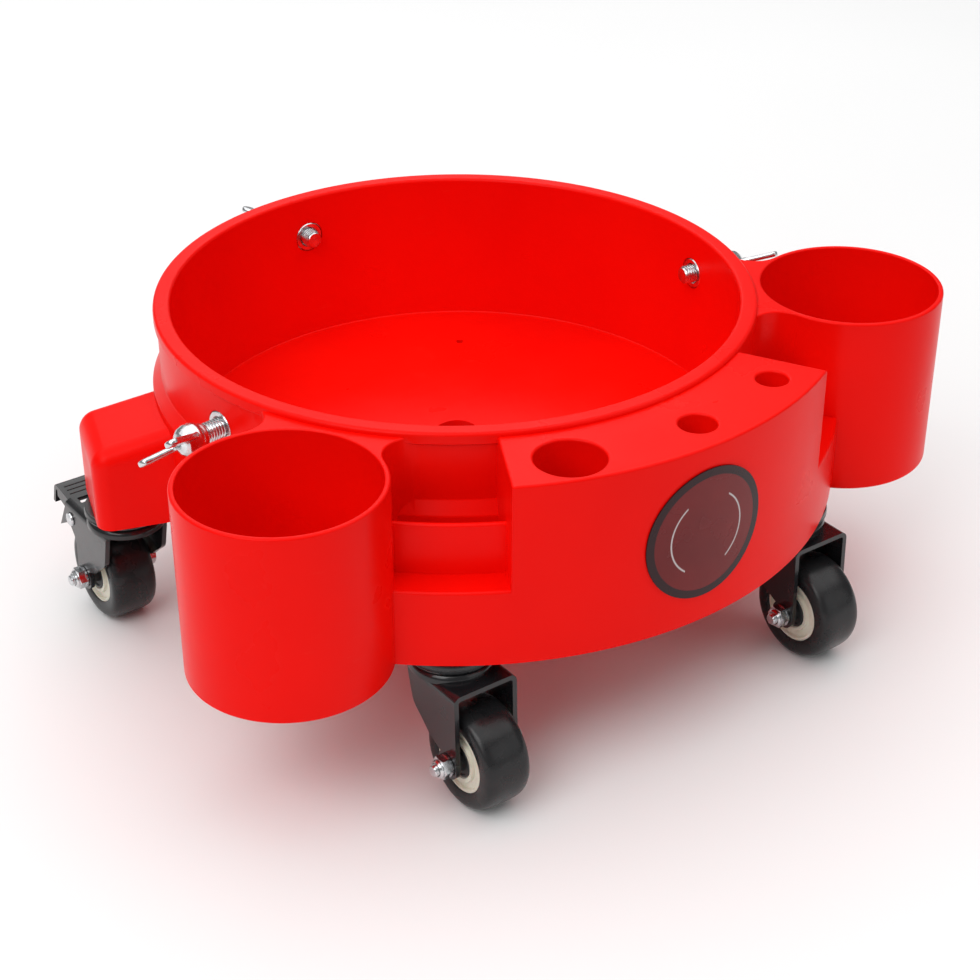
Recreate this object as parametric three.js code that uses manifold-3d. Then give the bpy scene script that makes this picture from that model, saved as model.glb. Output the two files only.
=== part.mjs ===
// Rolling bucket dolly: a round well for a detailing bucket, with two bottle cups, a brush tray,
// two tool slots, three clamp screws and five swivel casters.
// Millimetres, +Z up, the front towards -Y. The origin is on the ground under the middle of the well.
import * as THREE from "three";
import { mergeVertices } from "three/addons/utils/BufferGeometryUtils.js";
import Module from "manifold-3d";

const wasm = await Module();
wasm.setup();

// ---------- driving dimensions ----------
const GAP = 0.3; // between pieces that touch
const WALL = 3; // moulded wall thickness
const ROUND = 60; // sides of the well and the ring
const CUP_ROUND = 32; // sides of a cup
const DECK = 74; // height of the moulding's underside above the ground
const RIM_HEIGHT = 92; // from the underside to the top of the rim

const WELL_R = 140;
const RING_R = 147; // outside of the ring's upper part
const RIM_R = 148.5;
const RIM_DEPTH = 6;
const BAND_R = 151.5; // outside of the ring's lower part
const BAND_TOP = 52;
const BAND_SLOPE = 6;
const FLOOR_TOP = 10.8;
const FLOOR_RIBS = 10;
const RIB = 2.5;
const RIB_LOW = 1.5; // lower edge of the floor ribs above the underside
const DRAIN_R = 11;
const WEEP_R = 2;
const WEEP_RADIUS = 102;

const CUP_ANGLE = 57; // degrees from the front axis
const CUP_RADIUS = 196.5; // from the well's axis to the cup's axis
const CUP_R = 46.5;
const CUP_DROP = 2.6; // how far a cup reaches below the underside
const CUP_WALL = 2.6;
const CUP_HEIGHT = 89.3;
const WEB_FILLET = 14;

const TRAY_R = 191.5;
const TRAY_HALF = 28; // degrees
const TRAY_TOP = 89.7;
const BRUSH_RADIUS = 172.5;
const BRUSH_HOLES = [
  { angle: -18.6, r: 16, depth: 72 },
  { angle: 2.9, r: 8.75, depth: 60 },
  { angle: 21.7, r: 7.6, depth: 60 },
];
const SLEEVE = 2.5;

const SLOT_WALL_R = 176.5; // outside of the thin wall in front of each tool slot
const SLOT_WALL_TOP = 63;
const SLOT_FLOOR = 28;
const LEDGE_TOP = 38;
const FRONT_HALF = 50; // degrees, where the front's ends run into the cups
const CAVITY_HALF = 41; // degrees, where the hollow under the ledges ends
const HALF_WALL_ANGLE = 0.5; // degrees, half the wall between two hollows

const LEG_OUT = 188.5;
const LEG_WIDTH = 52;
const LEG_TOP = 41; // at the outer end
const LEG_CORNER = 7;
const LEG_RISE = 10; // how much higher the leg's top is at the ring
const LEG_ANGLES = { left: -108, right: 108, rear: 180 };

const SCREW_HEIGHT = 69; // of the clamp screws above the underside
const SCREWS = {
  left: { angle: -82.3, turned: -40 },
  right: { angle: 82.3, turned: 28 },
  rear: { angle: 180, turned: -20 },
};
const SCREW_R = 4.85;
const SCREW_TIP = 134; // radius of the tip from the well's axis
const HEAD_START = 156.5;
const HEAD_LENGTH = 14;
const HEAD_R = 7.5;
const WING_REACH = 14; // from the head's far end
const WING_SPAN = 15; // from the screw's axis
const WING_THICK = 3;
const INSERT_R = 7.9;

const CASTER_RADIUS = 172;
const FRONT_CASTER_ANGLE = 36; // degrees from the front axis
const CASTERS = {
  front_left: { angle: -FRONT_CASTER_ANGLE, turned: 0, braked: false, nutSide: -1 },
  front_right: { angle: FRONT_CASTER_ANGLE, turned: 0, braked: false, nutSide: -1 },
  left: { angle: -108, turned: 180, braked: true, nutSide: 1 },
  right: { angle: 108, turned: 180, braked: true, nutSide: 1 },
  rear: { angle: 180, turned: 0, braked: false, nutSide: -1 },
};
const BOSS_R = 13;
const STEM_R = 4.85;
const STEM_REACH = 21; // above the underside
const RACE_R = 20.3;
const RACE_DEPTH = 4.8;
const TRAIL = 21;
const WHEEL_R = 25.5;
const WHEEL_WIDTH = 24;
const TREAD_IN = 16.3;
const BEARING_R = 8.3;
const SPACER_R = 5; // sleeve that keeps the bearing off the fork
const AXLE_R = 2.95;
const LEG_GAP = 14.6; // from the wheel's middle to the fork leg's inner face
const SHEET = 2.4; // fork steel
const TOE_R = 7.2; // of the fork legs round the axle
const CROWN_TOP = 64.5;
const CROWN_LEAD = 10.5;
const CROWN_TRAIL = 26.5;
const DOME_R = 19.7;
const DOME_RISE = 3.8;
const NUT_FLATS = 10;
const PEDAL_AXIS = { y: -30, z: 55 };
const SHOE_LIFT = 2.2; // from the tread to the brake shoe while the pedal is up
const PEDAL_PIN_R = 2;
const PIN_HEAD_R = 3.6;
const ACROSS = 40; // half the length of a bore cut right across a caster

const STICKER_R = 32.5;
const STICKER_HEIGHT = 46.3; // of its middle above the underside
const STICKER_THICK = 0.5;

// ---------- materials ----------
const paint = (color, roughness, metalness) =>
  new THREE.MeshStandardMaterial({ color, roughness, metalness });
const RED = paint(0xe01208, 0.38, 0);
const BLACK_STEEL = paint(0x15161a, 0.3, 0.6);
const BLACK_RUBBER = paint(0x111113, 0.35, 0);
const CREAM = paint(0xe4e0cf, 0.5, 0);
const ZINC = paint(0xc3c7cb, 0.28, 1);
const LABEL = paint(0x4a1216, 0.3, 0);

// ---------- shapes ----------
const rad = THREE.MathUtils.degToRad;

function solid(geometry) {
  const bare = geometry.index ? geometry.toNonIndexed() : geometry.clone();
  bare.deleteAttribute("normal");
  bare.deleteAttribute("uv");
  const merged = mergeVertices(bare, 1e-4);
  return new wasm.Manifold(
    new wasm.Mesh({
      numProp: 3,
      vertProperties: merged.attributes.position.array,
      triVerts: new Uint32Array(merged.index.array),
    }),
  );
}

function meshOf(name, body, material) {
  const { vertProperties, triVerts } = body.getMesh();
  const geometry = new THREE.BufferGeometry();
  geometry.setAttribute("position", new THREE.BufferAttribute(vertProperties, 3));
  geometry.setIndex(new THREE.BufferAttribute(triVerts, 1));
  const mesh = new THREE.Mesh(geometry, material);
  mesh.name = name;
  return mesh;
}

// A profile of [radius, height] pairs, counter-clockwise, turned round the Z axis.
function revolve(profile, segments) {
  const closed = profile[0][0] === 0 ? profile : [...profile, profile[0]];
  const points = closed.map(([r, z]) => new THREE.Vector2(r, z));
  return solid(new THREE.LatheGeometry(points, segments).rotateX(Math.PI / 2));
}

function rod(r, z0, z1, segments) {
  return revolve([[0, z0], [r, z0], [r, z1], [0, z1]], segments);
}

function ring(inner, outer, z0, z1, segments) {
  return revolve([[inner, z0], [outer, z0], [outer, z1], [inner, z1]], segments);
}

function prism(shape, z0, z1, curveSegments = 12) {
  const made = new THREE.ExtrudeGeometry(shape, { depth: z1 - z0, bevelEnabled: false, curveSegments });
  return solid(made.translate(0, 0, z0));
}

function outline(points) {
  return new THREE.Shape(points.map(([x, y]) => new THREE.Vector2(x, y)));
}

function block(width, depth, z0, z1, x = 0, y = 0) {
  const box = new THREE.BoxGeometry(width, depth, z1 - z0);
  return solid(box.translate(x, y, (z0 + z1) / 2));
}

// Part of a ring between two angles, measured from the front axis towards +X.
function sector(inner, outer, from, to, z0, z1) {
  const shape = new THREE.Shape();
  shape.absarc(0, 0, outer, rad(from - 90), rad(to - 90), false);
  shape.absarc(0, 0, inner, rad(to - 90), rad(from - 90), true);
  return prism(shape, z0, z1, Math.ceil((to - from) / 5));
}

// A shape drawn in Y (across) and Z (up), with its thickness along X.
function sidePlate(points, x0, x1) {
  const made = new THREE.ExtrudeGeometry(outline(points), { depth: x1 - x0, bevelEnabled: false });
  made.translate(0, 0, x0);
  made.applyMatrix4(new THREE.Matrix4().makeBasis(
    new THREE.Vector3(0, 1, 0),
    new THREE.Vector3(0, 0, 1),
    new THREE.Vector3(1, 0, 0),
  ));
  return solid(made);
}

function arcPoints(cx, cy, r, from, to, steps) {
  return Array.from({ length: steps + 1 }, (_, i) => {
    const a = rad(from + ((to - from) * i) / steps);
    return [cx + r * Math.cos(a), cy + r * Math.sin(a)];
  });
}

const atAngle = (body, angle) => body.rotate([0, 0, angle]);
const joined = (bodies) => bodies.reduce((all, next) => all.add(next));

// ---------- the moulding ----------
function ringAndRim() {
  const lip = RIM_HEIGHT - RIM_DEPTH;
  return revolve([
    [0, 0], [BAND_R, 0], [BAND_R, BAND_TOP], [RING_R, BAND_TOP + BAND_SLOPE], [RING_R, lip],
    [RIM_R, lip], [RIM_R, RIM_HEIGHT - 1.5], [RIM_R - 1.5, RIM_HEIGHT], [0, RIM_HEIGHT],
  ], ROUND);
}

// The filled corner on both sides of a cup, where it joins the ring with round inner corners.
function web() {
  const toRing = RING_R + WEB_FILLET;
  const toCup = CUP_R + WEB_FILLET;
  const cos = (toRing ** 2 + CUP_RADIUS ** 2 - toCup ** 2) / (2 * CUP_RADIUS * toRing);
  const away = Math.acos(cos);
  const cx = toRing * Math.sin(away);
  const cy = -toRing * Math.cos(away);
  const start = THREE.MathUtils.radToDeg(Math.atan2(-cy, -cx));
  const end = THREE.MathUtils.radToDeg(Math.atan2(-CUP_RADIUS - cy, -cx)) + 360;
  const right = arcPoints(cx, cy, WEB_FILLET, start, end, 5);
  const left = right.map(([x, y]) => [-x, y]).reverse();
  const inner = (WELL_R + RING_R) / 2;
  const foot = [[-inner * Math.sin(away), -inner * Math.cos(away)], [inner * Math.sin(away), -inner * Math.cos(away)]];
  return prism(outline([...foot, ...right, ...left]), 0, CUP_HEIGHT);
}

function cup() {
  return rod(CUP_R, -CUP_DROP, CUP_HEIGHT, CUP_ROUND).translate([0, -CUP_RADIUS, 0]).add(web());
}

function cupBore() {
  return rod(CUP_R - CUP_WALL, WALL - CUP_DROP, RIM_HEIGHT, CUP_ROUND).translate([0, -CUP_RADIUS, 0]);
}

function legPlan(inset) {
  const half = LEG_WIDTH / 2 - inset;
  const out = LEG_OUT - inset;
  const corner = LEG_CORNER - inset;
  const shape = new THREE.Shape();
  shape.moveTo(-half, -RING_R + 2);
  shape.lineTo(-half, -out + corner);
  shape.absarc(-half + corner, -out + corner, corner, Math.PI, 1.5 * Math.PI, false);
  shape.absarc(half - corner, -out + corner, corner, 1.5 * Math.PI, 2 * Math.PI, false);
  shape.lineTo(half, -RING_R + 2);
  return prism(shape, -1, RIM_HEIGHT, 3);
}

function legSide(drop) {
  const out = -LEG_OUT + drop;
  const top = LEG_TOP - drop;
  const edge = arcPoints(out + LEG_CORNER, top - LEG_CORNER, LEG_CORNER, 90, 180, 3);
  const inner = -RING_R + 4;
  const low = drop ? -1 : 0;
  return sidePlate([[inner, low], [inner, top + LEG_RISE], ...edge, [out, low]], -LEG_WIDTH, LEG_WIDTH);
}

const legBox = () => legPlan(0).intersect(legSide(0));

// The hollow of a leg, with the caster's boss and its cross ribs left standing.
function legHollow() {
  const beyondBand = sector(BAND_R, LEG_OUT, -20, 20, -1, RIM_HEIGHT);
  return legPlan(WALL).intersect(legSide(WALL)).intersect(beyondBand).subtract(casterBoss(LEG_WIDTH));
}

function casterBoss(ribs) {
  const boss = rod(BOSS_R, -1, RIM_HEIGHT, 16);
  const across = block(ribs, RIB, -1, RIM_HEIGHT);
  const along = block(RIB, ribs, -1, RIM_HEIGHT);
  return joined([boss, across, along]).translate([0, -CASTER_RADIUS, 0]);
}

function slotFront(side) {
  const [from, to] = side < 0 ? [-FRONT_HALF, 1 - TRAY_HALF] : [TRAY_HALF - 1, FRONT_HALF];
  return sector(RING_R - 2, SLOT_WALL_R, from, to, 0, SLOT_WALL_TOP);
}

function slotSpace(side) {
  const [from, to] = side < 0 ? [-FRONT_HALF - 1, -TRAY_HALF] : [TRAY_HALF, FRONT_HALF + 1];
  return sector(BAND_R, SLOT_WALL_R - WALL, from, to, SLOT_FLOOR, RIM_HEIGHT);
}

function brushSpot(spot, r, z0, z1) {
  return atAngle(rod(r, z0, z1, 20).translate([0, -BRUSH_RADIUS, 0]), spot.angle);
}

function trayHollow() {
  const half = TRAY_HALF - HALF_WALL_ANGLE;
  const space = sector(BAND_R + WALL, TRAY_R - WALL, -half, half, -1, TRAY_TOP - WALL);
  const sleeves = BRUSH_HOLES.map((spot) =>
    brushSpot(spot, spot.r + SLEEVE, TRAY_TOP - spot.depth - SLEEVE, RIM_HEIGHT));
  return space.subtract(joined(sleeves));
}

function ledgeHollow(side) {
  const near = TRAY_HALF + HALF_WALL_ANGLE;
  const [from, to] = side < 0 ? [-CAVITY_HALF, -near] : [near, CAVITY_HALF];
  const space = sector(BAND_R + WALL, TRAY_R - WALL, from, to, -1, SLOT_FLOOR - WALL);
  return space.subtract(atAngle(rod(BOSS_R, -2, RIM_HEIGHT, 16).translate([0, -CASTER_RADIUS, 0]), side * FRONT_CASTER_ANGLE));
}

function underside() {
  const recess = rod(BAND_R - WALL, -1, FLOOR_TOP - WALL, ROUND);
  const channel = ring(WELL_R + WALL, BAND_R - WALL, -1, BAND_TOP - WALL, ROUND);
  return recess.add(channel);
}

function floorRibs() {
  const outer = BAND_R - WALL / 2;
  const inner = DRAIN_R + WALL / 2;
  const long = outer - inner;
  const top = FLOOR_TOP - WALL + 0.5;
  const one = block(RIB, long, RIB_LOW, top, 0, -(outer + inner) / 2);
  const all = Array.from({ length: FLOOR_RIBS }, (_, i) => atAngle(one, (i * 360) / FLOOR_RIBS));
  return joined([...all, ring(DRAIN_R, DRAIN_R + WALL, RIB_LOW, top, 20)]);
}

function screwBore(angle) {
  const bore = rod(INSERT_R + GAP, WELL_R - 5, BAND_R + 5, 16).rotate([90, 0, 0]);
  return atAngle(bore.translate([0, 0, SCREW_HEIGHT]), angle);
}

function stemBore(angle) {
  const bore = rod(STEM_R + GAP, -1, STEM_REACH + 1, 12).translate([0, -CASTER_RADIUS, 0]);
  return atAngle(bore, angle);
}

function moulding() {
  const sides = [-1, 1];
  const slots = sides.map((side) => slotFront(side).subtract(slotSpace(side)));
  const outside = joined([
    ringAndRim(),
    ...slots,
    sector(RING_R - 2, TRAY_R, -FRONT_HALF, FRONT_HALF, 0, LEDGE_TOP).subtract(joined(sides.map(slotSpace))),
    sector(RING_R - 2, TRAY_R, -TRAY_HALF, TRAY_HALF, 0, TRAY_TOP),
    ...sides.map((side) => atAngle(cup(), side * CUP_ANGLE)),
    ...Object.values(LEG_ANGLES).map((angle) => atAngle(legBox(), angle)),
  ]);
  const weeps = Array.from({ length: 5 }, (_, i) =>
    atAngle(rod(WEEP_R, -1, FLOOR_TOP + 1, 8).translate([0, -WEEP_RADIUS, 0]), i * 72));
  const shell = outside.subtract(joined([
    rod(WELL_R, FLOOR_TOP, RIM_HEIGHT + 1, ROUND),
    underside(),
    trayHollow(),
    ...sides.map(ledgeHollow),
    ...Object.values(LEG_ANGLES).map((angle) => atAngle(legHollow(), angle)),
    ...sides.map((side) => atAngle(cupBore(), side * CUP_ANGLE)),
    ...BRUSH_HOLES.map((spot) => brushSpot(spot, spot.r, TRAY_TOP - spot.depth, RIM_HEIGHT)),
  ]));
  return shell.add(floorRibs()).subtract(joined([
    rod(DRAIN_R, -1, RIM_HEIGHT, 20),
    ...weeps,
    ...Object.values(SCREWS).map((screw) => screwBore(screw.angle)),
    ...Object.values(CASTERS).map((caster) => stemBore(caster.angle)),
  ]));
}

function sticker() {
  const disc = rod(STICKER_R, 0, 2 * TRAY_R, 40).rotate([90, 0, 0]).translate([0, 0, STICKER_HEIGHT]);
  const inner = TRAY_R + GAP;
  return disc.intersect(sector(inner, inner + STICKER_THICK, -15, 15, 0, RIM_HEIGHT));
}

// ---------- clamp screws, drawn along -Y from the well's axis ----------
const outward = (body) => body.rotate([90, 0, 0]);

function screwRod() {
  const end = HEAD_START - GAP;
  return outward(revolve([[0, SCREW_TIP], [SCREW_R - 1, SCREW_TIP], [SCREW_R, SCREW_TIP + 1], [SCREW_R, end], [0, end]], 16));
}

function screwInsert() {
  return outward(ring(SCREW_R + GAP, INSERT_R, WELL_R - 0.2, RING_R + 0.2, 16));
}

function wingHead(turned) {
  const far = HEAD_START + HEAD_LENGTH;
  const hub = revolve([
    [0, HEAD_START], [HEAD_R - 2, HEAD_START], [HEAD_R, HEAD_START + 3], [HEAD_R, far - 5],
    [HEAD_R - 4, far], [0, far],
  ], 16);
  const tip = 4;
  const edge = [
    [0, HEAD_START + 4], [HEAD_R, HEAD_START + 5], [WING_SPAN, far + 5],
    ...arcPoints(WING_SPAN - tip, far + WING_REACH - tip, tip, 0, 180, 5),
    [HEAD_R - 3, far - 1], [0, far - 2],
  ];
  const wing = outline(edge);
  const plate = prism(wing, -WING_THICK / 2, WING_THICK / 2).rotate([90, 0, 0]);
  const both = plate.add(plate.rotate([0, 0, 180]));
  return outward(hub.add(both)).rotate([0, turned, 0]);
}

// ---------- casters, drawn round the swivel axis with the wheel trailing towards -Y ----------
function stem() {
  const low = CROWN_TOP - SHEET - GAP;
  const top = DECK + STEM_REACH;
  return revolve([
    [0, low - 3.5], [7, low - 3.5], [7.5, low], [STEM_R, low],
    [STEM_R, top - 1], [STEM_R - 1, top], [0, top],
  ], 10);
}

function race() {
  const top = DECK - GAP;
  const low = top - RACE_DEPTH;
  const bore = STEM_R + GAP;
  return revolve([
    [bore, top - 4], [RACE_R - 5, top - 4], [RACE_R - 4.5, low], [RACE_R - 1.5, low],
    [RACE_R, top - 3], [RACE_R - 1, top], [bore, top],
  ], 20);
}

function forkLeg(x0, braked) {
  const toe = arcPoints(-TRAIL, WHEEL_R, TOE_R, 200, 400, 7);
  const rear = -CROWN_TRAIL;
  const lead = [
    [CROWN_LEAD - 17.2, CROWN_TOP - 30.2], [CROWN_LEAD - 11.7, CROWN_TOP - 25.2], [CROWN_LEAD - 7, CROWN_TOP - 21.5],
    [CROWN_LEAD - 4.2, CROWN_TOP - 17.4], [CROWN_LEAD - 1, CROWN_TOP - 4.9], [CROWN_LEAD, CROWN_TOP],
  ];
  const cheek = braked
    ? [[rear, CROWN_TOP - 18], [rear - 7.5, CROWN_TOP - 12], [rear - 9.5, CROWN_TOP - 4], [rear - 7.5, CROWN_TOP]]
    : [[rear, CROWN_TOP]];
  return sidePlate([...toe, ...lead, ...cheek.reverse()], x0, x0 + SHEET);
}

function fork(braked) {
  const width = 2 * (LEG_GAP + SHEET);
  const crown = block(width, CROWN_LEAD + CROWN_TRAIL, CROWN_TOP - SHEET, CROWN_TOP, 0, (CROWN_LEAD - CROWN_TRAIL) / 2);
  const dome = revolve([
    [STEM_R + GAP, CROWN_TOP - SHEET], [DOME_R - 3, CROWN_TOP - SHEET], [DOME_R, CROWN_TOP - 0.5],
    [DOME_R, CROWN_TOP + 1], [DOME_R - 1.8, CROWN_TOP + DOME_RISE], [STEM_R + GAP, CROWN_TOP + DOME_RISE],
  ], 16);
  const bore = rod(STEM_R + GAP, CROWN_TOP - 9, CROWN_TOP + 9, 10);
  const pins = [onAxle(rod(AXLE_R + GAP, -ACROSS, ACROSS, 8))];
  if (braked) pins.push(onPedalAxis(rod(PEDAL_PIN_R + GAP, -ACROSS, ACROSS, 8)));
  return joined([crown, dome, forkLeg(LEG_GAP, braked), forkLeg(-LEG_GAP - SHEET, braked)])
    .subtract(joined([bore, ...pins]));
}

const onAxle = (body) => body.rotate([0, 90, 0]).translate([0, -TRAIL, WHEEL_R]);
const onPedalAxis = (body) => body.rotate([0, 90, 0]).translate([0, PEDAL_AXIS.y, PEDAL_AXIS.z]);

function tread() {
  const half = WHEEL_WIDTH / 2;
  return onAxle(revolve([
    [TREAD_IN, -half], [WHEEL_R - 5, -half], [WHEEL_R - 1.5, -half + 3], [WHEEL_R, -half + 8],
    [WHEEL_R, half - 8], [WHEEL_R - 1.5, half - 3], [WHEEL_R - 5, half], [TREAD_IN, half],
  ], 24));
}

function hub() {
  const half = WHEEL_WIDTH / 2 - 0.6;
  return onAxle(ring(BEARING_R + GAP, TREAD_IN - GAP, -half, half, 20));
}

function bearing() {
  const half = WHEEL_WIDTH / 2 - 0.3;
  const reach = LEG_GAP - GAP;
  const seal = ring(AXLE_R + GAP, BEARING_R, -half, half, 16);
  return onAxle(seal.add(ring(AXLE_R + GAP, SPACER_R, -reach, reach, 16)));
}

function hexagon(flats, z0, z1) {
  return rod(flats / Math.sqrt(3), z0, z1, 6);
}

function axleBolt(nutSide) {
  const face = LEG_GAP + SHEET + GAP;
  const bolt = rod(AXLE_R, -face - 1, face + 8, 8).add(hexagon(NUT_FLATS, -face - 4, -face));
  return onAxle(nutSide > 0 ? bolt : bolt.rotate([0, 180, 0]));
}

function axleNut(nutSide) {
  const face = LEG_GAP + SHEET + GAP;
  const collar = rod(NUT_FLATS / 2 - 0.4, face + 4, face + 6, 8);
  const nut = hexagon(NUT_FLATS, face, face + 4.5).add(collar).subtract(rod(AXLE_R + GAP, face - 1, face + 9, 8));
  return onAxle(nutSide > 0 ? nut : nut.rotate([0, 180, 0]));
}

// The foot lever is a channel between the fork's cheeks, with a wide paddle at its end.
function pedal() {
  const half = LEG_GAP - GAP;
  const { y, z } = PEDAL_AXIS;
  const cheek = [
    [y + 3, z - 3], [y + 3, z + 3], [y - 8, z + 5], [y - 20, z + 7], [y - 20, z + 3],
    [y - 12.5, z + 0.6], [y - 20.6, z - 14], [y - 5.4, z - 5],
  ];
  const top = [
    [y - 6.5, z + 4.5], [y - 6.5, z + 6.7], [y - 20, z + 9], [y - 23, z + 8], [y - 26, z - 2],
    [y - 24, z - 2.6], [y - 21.5, z + 6], [y - 20, z + 6.8],
  ];
  const shoeOut = WHEEL_R + SHOE_LIFT;
  const shoeEdge = arcPoints(-TRAIL, WHEEL_R, shoeOut, 113.5, 125, 2);
  const shoeBack = arcPoints(-TRAIL, WHEEL_R, shoeOut + SHEET, 125, 113.5, 1);
  const shoe = [...shoeEdge, ...shoeBack];
  const lever = joined([
    sidePlate(cheek, half - SHEET, half),
    sidePlate(cheek, -half, SHEET - half),
    sidePlate(top, -half, half),
    sidePlate(shoe, -half, half),
  ]);
  return lever.subtract(onPedalAxis(rod(PEDAL_PIN_R + GAP, -ACROSS, ACROSS, 8)));
}

function pedalPin() {
  const out = LEG_GAP + SHEET + GAP;
  const pin = joined([
    rod(PEDAL_PIN_R, -out - 0.5, out + 0.5, 8),
    rod(PIN_HEAD_R, out, out + 1.4, 8),
    rod(PIN_HEAD_R, -out - 1.4, -out, 8),
  ]);
  return onPedalAxis(pin);
}

// ---------- assembly ----------
const dolly = new THREE.Group();

function addMoulding() {
  const lifted = new THREE.Group();
  lifted.position.z = DECK;
  lifted.add(meshOf("dolly_body", moulding(), RED), meshOf("front_sticker", sticker(), LABEL));
  dolly.add(lifted);
}

function addScrew(name, { angle, turned }) {
  const place = new THREE.Group();
  place.position.z = DECK + SCREW_HEIGHT;
  place.rotation.z = rad(angle);
  place.add(
    meshOf(`clamp_screw_${name}`, screwRod(), ZINC),
    meshOf(`clamp_wing_${name}`, wingHead(turned), ZINC),
    meshOf(`clamp_insert_${name}`, screwInsert(), ZINC),
  );
  dolly.add(place);
}

function addCaster(name, { angle, turned, braked, nutSide }) {
  const place = new THREE.Group();
  place.position.set(CASTER_RADIUS * Math.sin(rad(angle)), -CASTER_RADIUS * Math.cos(rad(angle)), 0);
  place.rotation.z = rad(turned);
  place.add(
    meshOf(`caster_stem_${name}`, stem(), ZINC),
    meshOf(`caster_race_${name}`, race(), BLACK_STEEL),
    meshOf(`caster_fork_${name}`, fork(braked), BLACK_STEEL),
    meshOf(`wheel_tread_${name}`, tread(), BLACK_RUBBER),
    meshOf(`wheel_hub_${name}`, hub(), CREAM),
    meshOf(`wheel_bearing_${name}`, bearing(), BLACK_RUBBER),
    meshOf(`axle_bolt_${name}`, axleBolt(nutSide), ZINC),
    meshOf(`axle_nut_${name}`, axleNut(nutSide), ZINC),
  );
  if (braked) {
    place.add(
      meshOf(`brake_pedal_${name}`, pedal(), BLACK_STEEL),
      meshOf(`brake_pin_${name}`, pedalPin(), ZINC),
    );
  }
  dolly.add(place);
}

addMoulding();
for (const [name, screw] of Object.entries(SCREWS)) addScrew(name, screw);
for (const [name, caster] of Object.entries(CASTERS)) addCaster(name, caster);

export default dolly;
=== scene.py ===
# The looks of the rolling bucket dolly. Pieces are drawn in millimetres and made in metres, in the CAD frame.
import math
import bmesh
import bpy
from mathutils import Matrix, Vector


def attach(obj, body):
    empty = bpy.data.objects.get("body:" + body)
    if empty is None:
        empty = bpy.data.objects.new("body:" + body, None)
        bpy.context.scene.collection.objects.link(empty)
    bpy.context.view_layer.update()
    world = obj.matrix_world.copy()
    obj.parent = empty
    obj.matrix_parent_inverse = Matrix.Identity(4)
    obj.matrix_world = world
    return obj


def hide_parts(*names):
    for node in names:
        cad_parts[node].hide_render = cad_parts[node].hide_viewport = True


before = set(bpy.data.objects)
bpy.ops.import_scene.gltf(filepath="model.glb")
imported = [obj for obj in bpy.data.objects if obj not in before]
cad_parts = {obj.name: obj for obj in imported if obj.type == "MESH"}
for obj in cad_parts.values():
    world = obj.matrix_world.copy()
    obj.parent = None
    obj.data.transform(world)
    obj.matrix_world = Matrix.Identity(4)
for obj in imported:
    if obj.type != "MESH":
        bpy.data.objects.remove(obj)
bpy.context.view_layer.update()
MM = 0.001

# ---------- driving dimensions, as in the CAD model ----------
DECK = 74.0  # underside of the moulding above the ground
WALL = 3.0
RIM_HEIGHT = 92.0
WELL_R, RING_R, RIM_R, BAND_R = 140.0, 147.0, 148.5, 151.5
RIM_DEPTH = 6.0
BAND_TOP, BAND_SLOPE = 52.0, 6.0
FLOOR_TOP = 10.8
FLOOR_RIBS, RIB, RIB_LOW = 10, 2.5, 1.5
DRAIN_R, WEEP_R, WEEP_RADIUS = 11.0, 2.0, 102.0

CUP_ANGLE, CUP_RADIUS, CUP_R, CUP_WALL = 57.0, 196.5, 46.5, 2.6
CUP_HEIGHT, CUP_DROP, WEB_FILLET = 89.3, 2.6, 14.0
TRAY_R, TRAY_HALF, TRAY_TOP = 191.5, 28.0, 89.7
BRUSH_RADIUS, SLEEVE = 172.5, 2.5
BRUSH_HOLES = [(-18.6, 16.0, 72.0), (2.9, 8.75, 60.0), (21.7, 7.6, 60.0)]  # angle, radius, depth
SLOT_WALL_R, SLOT_WALL_TOP, SLOT_FLOOR = 176.5, 63.0, 28.0
LEDGE_TOP, FRONT_HALF, CAVITY_HALF, HALF_WALL_ANGLE = 38.0, 50.0, 41.0, 0.5
LEG_OUT, LEG_WIDTH, LEG_TOP, LEG_ROUND, LEG_RISE = 188.5, 52.0, 41.0, 8.0, 10.0
LEG_ANGLES = (-108.0, 108.0, 180.0)

SCREW_HEIGHT = 69.0
SCREWS = {"left": (-82.3, -40.0), "right": (82.3, 28.0), "rear": (180.0, -20.0)}  # angle, turn of the wings
SCREW_R, SCREW_PITCH, SCREW_TIP = 4.85, 1.5, 134.0
HEAD_START, HEAD_LENGTH, HEAD_R = 156.5, 14.0, 7.5
WING_REACH, WING_SPAN, WING_THICK = 14.0, 15.0, 3.0
INSERT_R = 7.9

CASTER_RADIUS, FRONT_CASTER_ANGLE = 172.0, 36.0
CASTERS = {  # angle, turn of the caster, braked, side of the nut
    "front_left": (-FRONT_CASTER_ANGLE, 0.0, False, -1),
    "front_right": (FRONT_CASTER_ANGLE, 0.0, False, -1),
    "left": (-108.0, 180.0, True, 1),
    "right": (108.0, 180.0, True, 1),
    "rear": (180.0, 0.0, False, -1),
}
BOSS_R, STEM_R, STEM_REACH = 13.0, 4.85, 21.0
RACE_R, RACE_DEPTH = 20.3, 4.8
TRAIL, WHEEL_R, WHEEL_WIDTH = 21.0, 25.5, 24.0
TREAD_IN, BEARING_R, SPACER_R, AXLE_R = 16.3, 8.3, 5.0, 2.95
LEG_GAP, SHEET, TOE_R = 14.6, 2.4, 7.2
CROWN_TOP, CROWN_LEAD, CROWN_TRAIL = 64.5, 10.5, 26.5
DOME_R, DOME_RISE = 19.7, 3.8
NUT_FLATS = 10.0
PEDAL_Y, PEDAL_Z, PEDAL_PIN_R, PIN_HEAD_R, SHOE_LIFT = -30.0, 55.0, 2.0, 3.6, 2.2
STICKER_R, STICKER_HEIGHT, STICKER_THICK = 32.5, 46.3, 0.5
GAP = 0.3
ACROSS = 40.0  # half the length of a bore cut right across a caster
FINE_PITCH = 1.0  # thread of the axle bolts
WELL_SIDES, CUP_SIDES = 240, 128  # segments round the well and the cups
PLATE = (7.0, 7.0)  # size of the overhead light, metres
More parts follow.
